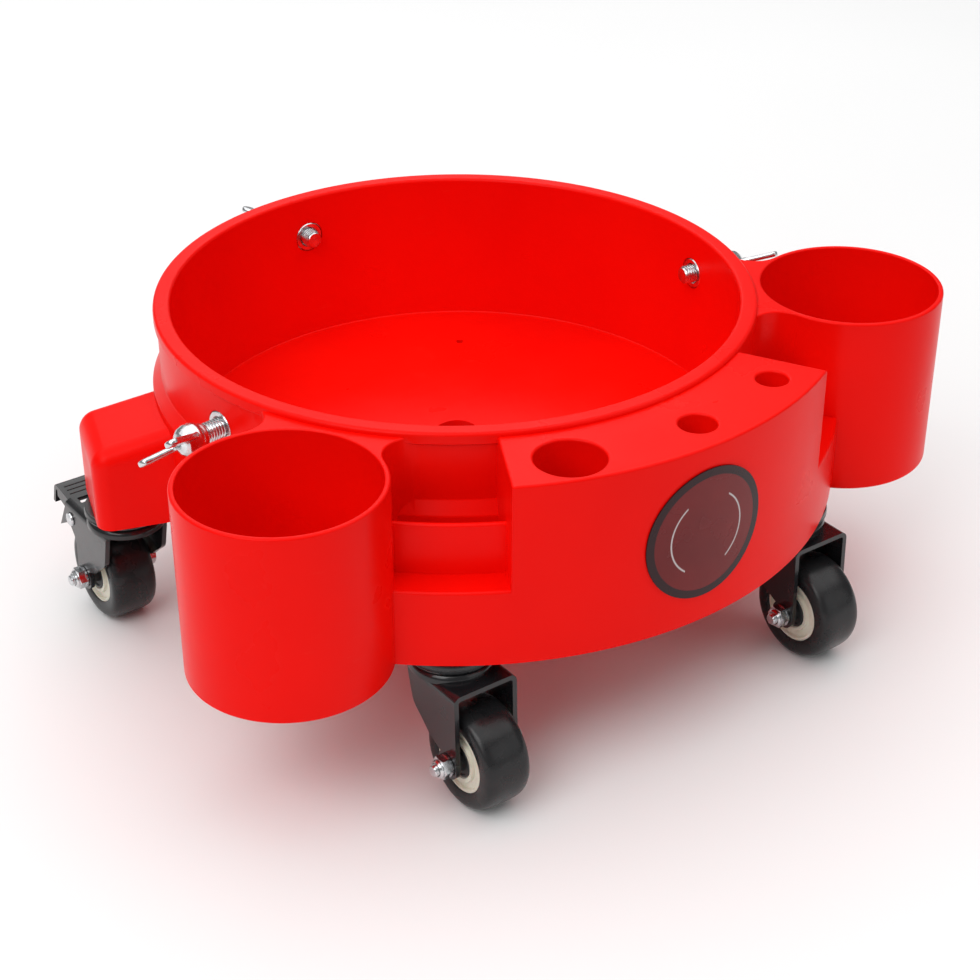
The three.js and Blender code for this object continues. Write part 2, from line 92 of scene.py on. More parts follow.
FLOOR_REACH = 6.0  # metres

rad = math.radians


# ---------- mesh helpers ----------
def make(name, verts, faces):
    mesh = bpy.data.meshes.new(name)
    mesh.from_pydata([tuple(c * MM for c in v) for v in verts], [], faces)
    mesh.update()
    obj = bpy.data.objects.new(name, mesh)
    bpy.context.scene.collection.objects.link(obj)
    bm = bmesh.new()
    bm.from_mesh(mesh)
    bmesh.ops.remove_doubles(bm, verts=bm.verts, dist=1e-6)
    bmesh.ops.recalc_face_normals(bm, faces=bm.faces)
    bm.to_mesh(mesh)
    bm.free()
    return obj


def arc(cx, cy, r, start, end, steps):
    angles = [rad(start + (end - start) * i / steps) for i in range(steps + 1)]
    return [(cx + r * math.cos(a), cy + r * math.sin(a)) for a in angles]


def revolve(name, profile, segments):
    """A profile of (radius, height), closed through the axis or on itself, turned round Z."""
    on_axis = profile[0][0] == 0
    rings = []
    verts = []
    for r, z in profile:
        if r == 0:
            verts.append((0, 0, z))
            rings.append([len(verts) - 1] * segments)
            continue
        first = len(verts)
        for k in range(segments):
            a = 2 * math.pi * k / segments
            verts.append((r * math.sin(a), -r * math.cos(a), z))
        rings.append(list(range(first, first + segments)))
    pairs = list(zip(rings, rings[1:]))
    if not on_axis:
        pairs.append((rings[-1], rings[0]))
    faces = []
    for low, high in pairs:
        for k in range(segments):
            n = (k + 1) % segments
            corners = [low[k], low[n], high[n], high[k]]
            face = [c for i, c in enumerate(corners) if c not in corners[:i]]
            if len(face) > 2:
                faces.append(face)
    return make(name, verts, faces)


def rod(name, r, z0, z1, segments=48):
    return revolve(name, [(0, z0), (r, z0), (r, z1), (0, z1)], segments)


def inset(points, amount):
    """A closed outline, counter-clockwise, moved inwards by amount along its corner bisectors."""
    moved = []
    count = len(points)
    for i, (x, y) in enumerate(points):
        ax, ay = points[i - 1]
        bx, by = points[(i + 1) % count]
        d1 = Vector((x - ax, y - ay)).normalized()
        d2 = Vector((bx - x, by - y)).normalized()
        n1, n2 = Vector((-d1.y, d1.x)), Vector((-d2.y, d2.x))
        bisector = (n1 + n2).normalized()
        reach = amount / max(0.35, bisector.dot(n1))
        moved.append((x + bisector.x * reach, y + bisector.y * reach))
    return moved


def prism(name, points, z0, z1, top=0.0, bottom=0.0, steps=4):
    """An outline raised from z0 to z1, with its top and bottom edges rounded."""
    levels = []
    if bottom:
        for i in range(steps):
            a = rad(90 * i / steps)
            levels.append((bottom * (1 - math.sin(a)), z0 + bottom * (1 - math.cos(a))))
        levels.append((0, z0 + bottom))
    else:
        levels.append((0, z0))
    if top:
        for i in range(steps + 1):
            a = rad(90 * i / steps)
            levels.append((top * (1 - math.cos(a)), z1 - top * (1 - math.sin(a))))
    else:
        levels.append((0, z1))
    count = len(points)
    verts = [(x, y, z) for amount, z in levels for x, y in inset(points, amount)]
    faces = [list(range(count)), list(range(len(verts) - count, len(verts)))]
    for level in range(len(levels) - 1):
        base = level * count
        for i in range(count):
            n = (i + 1) % count
            faces.append([base + i, base + n, base + count + n, base + count + i])
    return make(name, verts, faces)


def block(name, width, depth, z0, z1, x=0.0, y=0.0):
    w, d = width / 2, depth / 2
    corners = [(x - w, y - d), (x + w, y - d), (x + w, y + d), (x - w, y + d)]
    return prism(name, corners, z0, z1)


def sector_outline(inner, outer, start, end):
    """Angles are measured from the front axis towards +X."""
    steps = max(8, int((end - start) * 1.2))
    outside = arc(0, 0, outer, start - 90, end - 90, steps)
    inside = arc(0, 0, inner, end - 90, start - 90, steps)
    return outside + inside


def sector(name, inner, outer, start, end, z0, z1, top=0.0):
    return prism(name, sector_outline(inner, outer, start, end), z0, z1, top)


def side_plate(name, points, x0, x1):
    """An outline drawn in Y and Z, with its thickness along X."""
    obj = prism(name, points, x0, x1)
    turn = Matrix(((0, 0, 1, 0), (1, 0, 0, 0), (0, 1, 0, 0), (0, 0, 0, 1)))
    obj.data.transform(turn)
    return obj


def moved(obj, x=0.0, y=0.0, z=0.0):
    obj.data.transform(Matrix.Translation(Vector((x, y, z)) * MM))
    return obj


def turned(obj, degrees, axis="Z"):
    obj.data.transform(Matrix.Rotation(rad(degrees), 4, axis))
    return obj


def settle(obj):
    """Applies the object's modifiers to its mesh."""
    bpy.context.view_layer.update()
    graph = bpy.context.evaluated_depsgraph_get()
    made = bpy.data.meshes.new_from_object(obj.evaluated_get(graph))
    old = obj.data
    obj.modifiers.clear()
    obj.data = made
    bpy.data.meshes.remove(old)
    return obj


def combine(obj, others, operation, solver="MANIFOLD"):
    for other in others:
        cut = obj.modifiers.new("combine", "BOOLEAN")
        cut.operation = operation
        cut.solver = solver
        cut.object = other
        settle(obj)
        mesh = other.data
        bpy.data.objects.remove(other)
        bpy.data.meshes.remove(mesh)
    return obj


def join(first, *others):
    return combine(first, others, "UNION")


def cut(obj, *others):
    return combine(obj, others, "DIFFERENCE")


def keep(obj, *others):
    return combine(obj, others, "INTERSECT")


def bevel(obj, width, segments=3, angle=35):
    soft = obj.modifiers.new("bevel", "BEVEL")
    soft.width = width * MM
    soft.segments = segments
    soft.limit_method = "ANGLE"
    soft.angle_limit = rad(angle)
    soft.use_clamp_overlap = True
    return settle(obj)


def melt(obj, voxel, smooth):
    """Blends a cast piece into one rounded skin."""
    mesh = obj.modifiers.new("remesh", "REMESH")
    mesh.mode = "VOXEL"
    mesh.voxel_size = voxel * MM
    soft = obj.modifiers.new("smooth", "SMOOTH")
    soft.factor = 0.5
    soft.iterations = smooth
    return settle(obj)


def shade(obj, angle=32):
    obj.data.shade_smooth()
    obj.data.set_sharp_from_angle(angle=rad(angle))
    even = obj.modifiers.new("normals", "WEIGHTED_NORMAL")
    even.keep_sharp = True
    return obj


def place(obj, matrix):
    obj.data.transform(matrix)
    return obj


def finish_piece(obj, name, body, nodes, material, angle=32):
    obj.name = name
    obj.data.name = name
    shade(obj, angle)
    obj.data.materials.clear()
    obj.data.materials.append(material)
    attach(obj, body)
    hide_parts(*nodes)
    return obj


# ---------- materials ----------
class Paint:
    """A node material with short calls for what the surfaces share."""

    def __init__(self, name):
        self.material = bpy.data.materials.new(name)
        self.material.use_nodes = True
        self.tree = self.material.node_tree
        self.shader = self.tree.nodes["Principled BSDF"]
        self.place = self.add("ShaderNodeTexCoord").outputs["Object"]

    def add(self, kind, **values):
        node = self.tree.nodes.new(kind)
        for key, value in values.items():
            setattr(node, key, value)
        return node

    def link(self, source, target):
        self.tree.links.new(source, target)

    def noise(self, scale, detail=4.0, stretch=(1, 1, 1), rough=0.5):
        mapping = self.add("ShaderNodeMapping")
        mapping.inputs["Scale"].default_value = stretch
        self.link(self.place, mapping.inputs["Vector"])
        node = self.add("ShaderNodeTexNoise")
        node.inputs["Scale"].default_value = scale
        node.inputs["Detail"].default_value = detail
        node.inputs["Roughness"].default_value = rough
        self.link(mapping.outputs["Vector"], node.inputs["Vector"])
        return node.outputs["Fac"]

    def ramp(self, source, stops):
        node = self.add("ShaderNodeValToRGB")
        elements = node.color_ramp.elements
        while len(elements) < len(stops):
            elements.new(0.5)
        for element, (at, color) in zip(elements, stops):
            element.position = at
            element.color = (*color, 1.0)
        self.link(source, node.inputs["Fac"])
        return node.outputs["Color"]

    def spread(self, source, low, high, start=0.3, end=0.7):
        node = self.add("ShaderNodeMapRange")
        node.inputs["From Min"].default_value = start
        node.inputs["From Max"].default_value = end
        node.inputs["To Min"].default_value = low
        node.inputs["To Max"].default_value = high
        self.link(source, node.inputs["Value"])
        return node.outputs["Result"]

    def math(self, operation, a, b):
        node = self.add("ShaderNodeMath", operation=operation)
        for socket, value in zip(node.inputs, (a, b)):
            if isinstance(value, (int, float)):
                socket.default_value = value
            else:
                self.link(value, socket)
        return node.outputs["Value"]

    def mix(self, amount, first, second):
        node = self.add("ShaderNodeMix", data_type="RGBA")
        for name, value in (("Factor", amount), ("A", first), ("B", second)):
            socket = next(s for s in node.inputs if s.name == name and s.enabled)
            if isinstance(value, (int, float)):
                socket.default_value = value
            elif isinstance(value, tuple):
                socket.default_value = (*value, 1.0)
            else:
                self.link(value, socket)
        return next(s for s in node.outputs if s.enabled)

    def bump(self, layers):
        """layers of (height, depth in millimetres)."""
        normal = None
        for height, depth in layers:
            node = self.add("ShaderNodeBump")
            node.inputs["Strength"].default_value = 1.0
            node.inputs["Distance"].default_value = depth * MM
            self.link(height, node.inputs["Height"])
            if normal:
                self.link(normal, node.inputs["Normal"])
            normal = node.outputs["Normal"]
        self.link(normal, self.shader.inputs["Normal"])

    def set(self, **values):
        for key, value in values.items():
            socket = self.shader.inputs[key.replace("_", " ")]
            if isinstance(value, (int, float)):
                socket.default_value = value
            else:
                self.link(value, socket)


def scuffs(paint, scale, stretch, amount):
    """Sparse fine rubs, from 0 to amount."""
    fine = paint.noise(scale, 6.0, stretch, 0.7)
    where = paint.noise(9.0, 3.0)
    line = paint.spread(fine, 0.0, 1.0, 0.62, 0.7)
    patch = paint.spread(where, 0.0, amount, 0.5, 0.68)
    return paint.math("MULTIPLY", line, patch)


def red_plastic():
    paint = Paint("red_plastic")
    broad = paint.noise(7.0, 3.0)
    flow = paint.noise(16.0, 4.0, (1, 1, 0.35))
    base = paint.ramp(broad, [(0.3, (0.80, 0.002, 0.0008)), (0.7, (0.90, 0.0032, 0.001))])
    toned = paint.mix(paint.spread(flow, 0.0, 0.3), base, (0.94, 0.007, 0.002))
    rub = scuffs(paint, 70.0, (1, 1, 5), 0.12)
    color = paint.mix(rub, toned, (0.9, 0.06, 0.04))
    paint.set(Base_Color=color)
    grain = paint.noise(1500.0, 2.0)
    wave = paint.noise(38.0, 2.0)
    smooth = paint.spread(paint.noise(24.0, 5.0), 0.26, 0.36)
    paint.set(Roughness=paint.math("ADD", smooth, paint.math("MULTIPLY", rub, 0.3)))
    paint.set(Specular_IOR_Level=0.08)
    paint.bump([(grain, 0.012), (wave, 0.10)])
    return paint.material


def black_steel():
    paint = Paint("black_steel")
    broad = paint.noise(30.0, 4.0)
    paint.set(Base_Color=paint.ramp(broad, [(0.3, (0.006, 0.006, 0.007)), (0.7, (0.014, 0.014, 0.016))]))
    peel = paint.noise(420.0, 2.0)
    rub = scuffs(paint, 160.0, (1, 3, 1), 0.5)
    gloss = paint.spread(paint.noise(60.0, 5.0), 0.16, 0.3)
    paint.set(Roughness=paint.math("ADD", gloss, paint.math("MULTIPLY", rub, 0.35)))
    paint.set(Specular_IOR_Level=0.4, Coat_Weight=0.3, Coat_Roughness=0.12)
    paint.bump([(peel, 0.02)])
    return paint.material


def black_tread():
    paint = Paint("black_tread")
    broad = paint.noise(45.0, 5.0)
    dust = paint.spread(paint.noise(120.0, 6.0, (1, 1, 1), 0.7), 0.0, 0.25, 0.5, 0.8)
    base = paint.ramp(broad, [(0.3, (0.008, 0.008, 0.009)), (0.7, (0.016, 0.016, 0.017))])
    paint.set(Base_Color=paint.mix(dust, base, (0.06, 0.058, 0.055)))
    paint.set(Roughness=paint.spread(paint.noise(90.0, 5.0), 0.2, 0.36))
    paint.set(Specular_IOR_Level=0.35)
    paint.bump([(paint.noise(900.0, 3.0), 0.01)])
    return paint.material


def black_seal():
    paint = Paint("black_seal")
    broad = paint.noise(200.0, 4.0)
    paint.set(Base_Color=paint.ramp(broad, [(0.3, (0.012, 0.012, 0.012)), (0.7, (0.025, 0.025, 0.026))]))
    paint.set(Roughness=paint.spread(paint.noise(300.0, 4.0), 0.4, 0.6))
    paint.bump([(paint.noise(2200.0, 2.0), 0.01)])
    return paint.material


def cream_nylon():
    paint = Paint("cream_nylon")
    broad = paint.noise(80.0, 4.0)
    base = paint.ramp(broad, [(0.3, (0.66, 0.62, 0.50)), (0.7, (0.76, 0.73, 0.62))])
    grime = paint.spread(paint.noise(240.0, 6.0, (1, 1, 1), 0.7), 0.0, 0.35, 0.52, 0.8)
    paint.set(Base_Color=paint.mix(grime, base, (0.38, 0.34, 0.26)))
    paint.set(Roughness=paint.spread(paint.noise(150.0, 4.0), 0.35, 0.5))
    paint.set(Subsurface_Weight=0.15, Subsurface_Scale=0.002)
    paint.bump([(paint.noise(1300.0, 2.0), 0.012)])
    return paint.material


def zinc_steel():
    paint = Paint("zinc_steel")
    broad = paint.noise(260.0, 4.0)
    paint.set(Base_Color=paint.ramp(broad, [(0.3, (0.54, 0.55, 0.57)), (0.7, (0.76, 0.77, 0.78))]))
    rub = scuffs(paint, 500.0, (1, 4, 1), 0.8)
    shine = paint.spread(paint.noise(330.0, 5.0), 0.14, 0.3)
    paint.set(Roughness=paint.math("ADD", shine, paint.math("MULTIPLY", rub, 0.25)))
    paint.set(Metallic=1.0)
    paint.bump([(paint.noise(700.0, 3.0), 0.015)])
    return paint.material


def label_film():
    """Rings and plain arcs worked out from the distance to the label's middle."""
    paint = Paint("label_film")
    parts = paint.add("ShaderNodeSeparateXYZ")
    paint.link(paint.place, parts.inputs[0])
    across = paint.math("DIVIDE", parts.outputs["X"], STICKER_R * MM)
    lift = paint.math("SUBTRACT", parts.outputs["Z"], (DECK + STICKER_HEIGHT) * MM)
    up = paint.math("DIVIDE", lift, STICKER_R * MM)
    squares = [paint.math("MULTIPLY", value, value) for value in (across, up)]
    far = paint.math("SQRT", paint.math("ADD", *squares), 0.0)

    def band(low, high):
        over = paint.spread(far, 0.0, 1.0, low - 0.006, low + 0.006)
        under = paint.spread(far, 1.0, 0.0, high - 0.006, high + 0.006)
        return paint.math("MULTIPLY", over, under)

    rim = paint.spread(far, 0.0, 1.0, 0.872, 0.884)
    sides = paint.math("GREATER_THAN", paint.math("ABSOLUTE", across, 0.0), 0.36)
    arcs = paint.math("MULTIPLY", band(0.60, 0.622), sides)
    inner = paint.ramp(paint.noise(25.0, 3.0), [(0.3, (0.13, 0.006, 0.007)), (0.7, (0.18, 0.009, 0.01))])
    middle = paint.mix(arcs, inner, (0.55, 0.50, 0.50))
    color = paint.mix(rim, middle, (0.022, 0.004, 0.006))
    paint.set(Base_Color=color)
    paint.set(Roughness=paint.spread(paint.noise(60.0, 4.0), 0.18, 0.3))
    paint.set(Specular_IOR_Level=0.2, Coat_Weight=0.1, Coat_Roughness=0.08)
    paint.bump([(paint.noise(500.0, 2.0), 0.008)])
    return paint.material


RED, BLACK_STEEL, BLACK_TREAD = red_plastic(), black_steel(), black_tread()
BLACK_SEAL, CREAM, ZINC, LABEL = black_seal(), cream_nylon(), zinc_steel(), label_film()


# ---------- the moulding, drawn with its underside at zero ----------
def ring_and_rim():
    lip = RIM_HEIGHT - RIM_DEPTH
    profile = [
        (0, 0), (BAND_R - 0.8, 0), (BAND_R, 0.8), (BAND_R, BAND_TOP - 0.8), (BAND_R - 0.5, BAND_TOP + 0.3),
        (RING_R + 0.4, BAND_TOP + BAND_SLOPE - 0.4), (RING_R, BAND_TOP + BAND_SLOPE + 0.6),
        (RING_R, lip - 0.4), (RING_R + 0.3, lip), (RIM_R - 0.6, lip + 0.1), (RIM_R, lip + 0.7),
        *arc(RIM_R - 1.8, RIM_HEIGHT - 1.8, 1.8, 0, 90, 5), (0, RIM_HEIGHT),
    ]
    return revolve("ring", profile, WELL_SIDES)


def well_cutter():
    mouth = arc(WELL_R + 1.6, RIM_HEIGHT - 1.6, 1.6, 180, 90, 5)
    floor = arc(WELL_R - 1.0, FLOOR_TOP + 1.0, 1.0, -90, 0, 3)
    profile = [(0, FLOOR_TOP), *floor, *mouth, (WELL_R + 1.6, RIM_HEIGHT + 2), (0, RIM_HEIGHT + 2)]
    return revolve("well", profile, WELL_SIDES)


def web():
    to_ring, to_cup = RING_R + WEB_FILLET, CUP_R + WEB_FILLET
    away = math.acos((to_ring**2 + CUP_RADIUS**2 - to_cup**2) / (2 * CUP_RADIUS * to_ring))
    cx, cy = to_ring * math.sin(away), -to_ring * math.cos(away)
    start = math.degrees(math.atan2(-cy, -cx))
    end = math.degrees(math.atan2(-CUP_RADIUS - cy, -cx)) + 360
    right = arc(cx, cy, WEB_FILLET, start, end, 16)
    left = [(-x, y) for x, y in reversed(right)]
    inner = (WELL_R + RING_R) / 2
    foot_x, foot_y = inner * math.sin(away), -inner * math.cos(away)
    outline = [(-foot_x, foot_y), (foot_x, foot_y)] + right + left
    return prism("web", list(reversed(outline)), 0, CUP_HEIGHT, 1.0)


def cup():
    low = -CUP_DROP
    profile = [(0, low), (CUP_R - 1.2, low), *arc(CUP_R - 1.2, low + 1.2, 1.2, -60, 0, 3),
               *arc(CUP_R - 1.1, CUP_HEIGHT - 1.1, 1.1, 0, 90, 4), (0, CUP_HEIGHT)]
    return join(moved(revolve("cup", profile, CUP_SIDES), y=-CUP_RADIUS), web())


def cup_cutter():
    inner = CUP_R - CUP_WALL
    low = WALL - CUP_DROP
    floor = arc(inner - 4, low + 4, 4, -90, 0, 5)
    mouth = arc(inner + 0.9, CUP_HEIGHT - 0.9, 0.9, 180, 90, 3)
    profile = [(0, low), *floor, *mouth, (inner + 0.9, RIM_HEIGHT), (0, RIM_HEIGHT)]
    return moved(revolve("bore", profile, CUP_SIDES), y=-CUP_RADIUS)


def leg_box():
    """A box with a top that rises to the ring and soft edges, flat below."""
    half, low, inner = LEG_WIDTH / 2, -20.0, -(WELL_R + RING_R) / 2
    slope = LEG_RISE / (LEG_OUT - RING_R)
    back = LEG_TOP + slope * (LEG_OUT + inner)
    points = [(inner + 12, low), (inner + 12, back), (-LEG_OUT, LEG_TOP), (-LEG_OUT, low)]
    box = bevel(side_plate("leg", list(reversed(points)), -half, half), LEG_ROUND, 8, 20)
    return cut(box, block("below", 200, 400, -60, 0), block("inside", 200, 200, -60, 200, 0, inner + 100))


def caster_boss(ribs):
    boss = rod("boss", BOSS_R, -2, RIM_HEIGHT, 48)
    if ribs:
        boss = join(boss, block("rib", ribs, RIB, -2, RIM_HEIGHT), block("rib", RIB, ribs, -2, RIM_HEIGHT))
    return moved(boss, y=-CASTER_RADIUS)


def leg_hollow():
    half, low, inner = LEG_WIDTH / 2 - WALL, -20.0, -RING_R + 8
    out, top = LEG_OUT - WALL, LEG_TOP - WALL
    slope = LEG_RISE / (LEG_OUT - RING_R)
    points = [(inner, low), (inner, top + slope * (out + inner)), (-out, top), (-out, low)]
    hollow = bevel(side_plate("hollow", list(reversed(points)), -half, half), LEG_ROUND - WALL, 6, 20)
    hollow = cut(hollow, block("below", 200, 400, -60, -1), rod("band", BAND_R, -5, RIM_HEIGHT + 5, 120))
    return cut(hollow, caster_boss(LEG_WIDTH))


def slot_cutter(side):
    start, end = (-FRONT_HALF - 1, -TRAY_HALF) if side < 0 else (TRAY_HALF, FRONT_HALF + 1)
    return sector("slot", BAND_R, SLOT_WALL_R - WALL, start, end, SLOT_FLOOR, RIM_HEIGHT)


def slot_wall(side):
    start, end = (-FRONT_HALF, 1 - TRAY_HALF) if side < 0 else (TRAY_HALF - 1, FRONT_HALF)
    return sector("wall", SLOT_WALL_R - WALL, SLOT_WALL_R, start, end, SLOT_FLOOR - 2, SLOT_WALL_TOP, 1.2)


def front():
    low = sector("ledge", RING_R - 2, TRAY_R, -FRONT_HALF, FRONT_HALF, 0, LEDGE_TOP, 1.4)
    low = cut(low, slot_cutter(-1), slot_cutter(1))
    tray = sector("tray", RING_R - 2, TRAY_R, -TRAY_HALF, TRAY_HALF, 0, TRAY_TOP, 1.2)
    return join(low, tray, slot_wall(-1), slot_wall(1))


def brush_spot(name, spot, profile):
    return turned(moved(revolve(name, profile, 72), y=-BRUSH_RADIUS), spot[0])


def brush_cutter(spot):
    r, low = spot[1], TRAY_TOP - spot[2]
    mouth = arc(r + 1.2, TRAY_TOP - 1.2, 1.2, 180, 90, 4)
    profile = [(0, low), (r - 1, low), (r, low + 1), *mouth, (r + 1.2, RIM_HEIGHT), (0, RIM_HEIGHT)]
    return brush_spot("brush", spot, profile)


def tray_hollow():
    half = TRAY_HALF - HALF_WALL_ANGLE
    space = sector("space", BAND_R + WALL, TRAY_R - WALL, -half, half, -1, TRAY_TOP - WALL)
    sleeves = []
    for spot in BRUSH_HOLES:
        out, low = spot[1] + SLEEVE, TRAY_TOP - spot[2] - SLEEVE
        profile = [(0, low), (out, low), (out, RIM_HEIGHT), (0, RIM_HEIGHT)]
        sleeves.append(brush_spot("sleeve", spot, profile))
    return cut(space, *sleeves)


def ledge_hollow(side):
    near = TRAY_HALF + HALF_WALL_ANGLE
    start, end = (-CAVITY_HALF, -near) if side < 0 else (near, CAVITY_HALF)
    space = sector("space", BAND_R + WALL, TRAY_R - WALL, start, end, -1, SLOT_FLOOR - WALL)
    return cut(space, turned(caster_boss(0), side * FRONT_CASTER_ANGLE))


def underside():
    recess = rod("recess", BAND_R - WALL, -1, FLOOR_TOP - WALL, 180)
    low, high = -1, BAND_TOP - WALL
    outer, inner = BAND_R - WALL, WELL_R + WALL
    channel = revolve("channel", [(inner, low), (outer, low), (outer, high), (inner, high)], 180)
    return join(recess, channel)


def floor_ribs():
    inner, outer = DRAIN_R + WALL / 2, BAND_R - WALL / 2
    low, high = RIB_LOW, FLOOR_TOP - WALL + 0.5
    boss_profile = [(DRAIN_R, low), (DRAIN_R + WALL, low), (DRAIN_R + WALL, high), (DRAIN_R, high)]
    boss = revolve("boss", boss_profile, 48)
    ribs = []
    for i in range(FLOOR_RIBS):
        rib = block("rib", RIB, outer - inner, low, high, 0, -(outer + inner) / 2)
        ribs.append(turned(rib, i * 360 / FLOOR_RIBS))
    return join(boss, *ribs)


def radial_bore(angle, r):
    bore = turned(rod("bore", r, WELL_R - 5, BAND_R + 5, 40), 90, "X")
    return turned(moved(bore, z=SCREW_HEIGHT), angle)


def at_caster(obj, angle):
    return turned(moved(obj, y=-CASTER_RADIUS), angle)


def moulding():
    body = join(ring_and_rim(), front())
    for side in (-1, 1):
        body = join(body, turned(cup(), side * CUP_ANGLE))
    for angle in LEG_ANGLES:
        body = join(body, turned(leg_box(), angle))
    cutters = [well_cutter(), underside(), tray_hollow(), ledge_hollow(-1), ledge_hollow(1)]
    cutters += [turned(cup_cutter(), side * CUP_ANGLE) for side in (-1, 1)]
    cutters += [turned(leg_hollow(), angle) for angle in LEG_ANGLES]
    cutters += [brush_cutter(spot) for spot in BRUSH_HOLES]
    body = join(cut(body, *cutters), floor_ribs())
    holes = [rod("drain", DRAIN_R, -1, RIM_HEIGHT, 64)]
    for i in range(5):
        holes.append(turned(moved(rod("weep", WEEP_R, -1, FLOOR_TOP + 1, 24), y=-WEEP_RADIUS), i * 72))
    holes += [radial_bore(screw[0], INSERT_R + GAP) for screw in SCREWS.values()]
    for caster in CASTERS.values():
        holes.append(at_caster(rod("stem", STEM_R + GAP, -1, STEM_REACH + 1, 32), caster[0]))
    return moved(cut(body, *holes), z=DECK)


def sticker():
    inner = TRAY_R + GAP
    disc = turned(rod("label", STICKER_R, 0, 2 * TRAY_R, 160), 90, "X")
    curved = sector("film", inner, inner + STICKER_THICK, -15, 15, -45, 45)
    return moved(keep(curved, disc), z=DECK + STICKER_HEIGHT)


# ---------- clamp screws, drawn along -Y from the well's axis ----------
def outward(obj):
    return turned(obj, 90, "X")


def threaded(name, r, pitch, z0, z1, chamfer, segments=40):
    """A rod with a round-crested helical thread, chamfered at both ends."""
    depth = 0.55 * pitch
    rows = int((z1 - z0) / pitch * 8)
    verts, faces = [], []
    for i in range(rows + 1):
        z = z0 + (z1 - z0) * i / rows
        end = min(z - z0, z1 - z)
        most = r - max(0.0, chamfer - end)
        for k in range(segments):
            a = 2 * math.pi * k / segments
            phase = ((z - z0) / pitch - k / segments) % 1.0
            ridge = r - depth * (0.5 + 0.5 * math.cos(2 * math.pi * phase)) ** 1.3
            radius = min(most, ridge)
            verts.append((radius * math.sin(a), -radius * math.cos(a), z))
    for i in range(rows):
        for k in range(segments):
            n = (k + 1) % segments
            faces.append([i * segments + k, i * segments + n, (i + 1) * segments + n, (i + 1) * segments + k])
    faces.append(list(range(segments)))
    faces.append(list(range(rows * segments, (rows + 1) * segments)))
    return make(name, verts, faces)


def screw_rod():
    return outward(threaded("rod", SCREW_R, SCREW_PITCH, SCREW_TIP, HEAD_START - GAP, 1.0, 48))


def screw_insert():
    low, high = WELL_R - 0.2, RING_R + 0.2
    inner, outer = SCREW_R + GAP, INSERT_R
    profile = [(inner + 0.5, low), (outer - 0.4, low), (outer, low + 0.4), (outer, high - 0.4),
               (outer - 0.4, high), (inner + 0.5, high), (inner, high - 0.5), (inner, low + 0.5)]
    return outward(revolve("insert", profile, 48))


def wing_head(turn):
    far = HEAD_START + HEAD_LENGTH
    collar = [(0, HEAD_START), (HEAD_R - 2.2, HEAD_START), (HEAD_R - 1.8, HEAD_START + 0.5)]
    knob = [
        (HEAD_R - 1.8, HEAD_START + 2.6), (HEAD_R - 0.4, HEAD_START + 3.6), (HEAD_R, HEAD_START + 5.2),
        (HEAD_R, far - 5.5), (HEAD_R - 0.8, far - 2.8), (HEAD_R - 2.4, far - 0.9), (HEAD_R - 4.5, far), (0, far)]
    hub = revolve("hub", collar + knob, 64)
    tip = 4.0
    outline = [
        (0, HEAD_START + 5), (HEAD_R, HEAD_START + 6), (WING_SPAN + 1, far + 5),
        *arc(WING_SPAN, far + WING_REACH - tip, tip, 0, 180, 12), (HEAD_R - 2, far - 0.5), (0, far - 2)]
    half = WING_THICK / 2
    wings = []
    for side in (0, 180):
        wing = bevel(prism("wing", list(outline), -half, half), 1.0, 3)
        wings.append(turned(turned(wing, 90, "X"), side))
    cast = melt(join(hub, *wings), 0.3, 3)
    return turned(outward(cast), turn, "Y")


# ---------- casters, drawn round the swivel axis with the wheel trailing towards -Y ----------
def stem():
    low, top = CROWN_TOP - SHEET - GAP, DECK + STEM_REACH
    head = revolve("head", [
        (0, low - 3.5), (4.5, low - 3.4), (6.4, low - 2.7), (7.3, low - 1.4), (7.5, low), (0, low)], 40)
    shank = rod("shank", STEM_R - 0.1, low - 0.5, DECK + 1, 40)
    return join(head, shank, threaded("thread", STEM_R, SCREW_PITCH, DECK, top, 1.0, 32))


def race():
    top = DECK - GAP
    low = top - RACE_DEPTH
    bore = STEM_R + GAP
    return revolve("race", [
        (bore, top - 3.6), (RACE_R - 6, top - 3.6), (RACE_R - 5.0, low + 0.6), (RACE_R - 4.0, low),
        (RACE_R - 1.4, low), (RACE_R - 0.5, low + 0.4), (RACE_R - 0.1, low + 1.2), (RACE_R - 0.5, low + 2.0),
        (RACE_R - 0.5, low + 2.4), (RACE_R, low + 2.9), (RACE_R, top - 0.9), (RACE_R - 0.4, top - 0.2),
        (RACE_R - 1.2, top), (bore, top)], 96)


def bent_sheet(length0, length1, bend=1.3):
    """The fork's blank: a sheet folded into a channel, seen along Y."""
    out, top = LEG_GAP + SHEET, CROWN_TOP
    outer = arc(out - bend - SHEET, top - bend - SHEET, bend + SHEET, 0, 90, 8)
    inner = arc(out - bend - SHEET, top - bend - SHEET, bend, 90, 0, 8)
    half = [(out, 0), *outer]
    under = [*inner, (LEG_GAP, 0)]
    outline = half + [(-x, z) for x, z in reversed(half)] + [(-x, z) for x, z in reversed(under)] + under
    obj = prism("sheet", outline, -length1, -length0)
    turn = Matrix(((1, 0, 0, 0), (0, 0, -1, 0), (0, 1, 0, 0), (0, 0, 0, 1)))
    obj.data.transform(turn)
    return obj


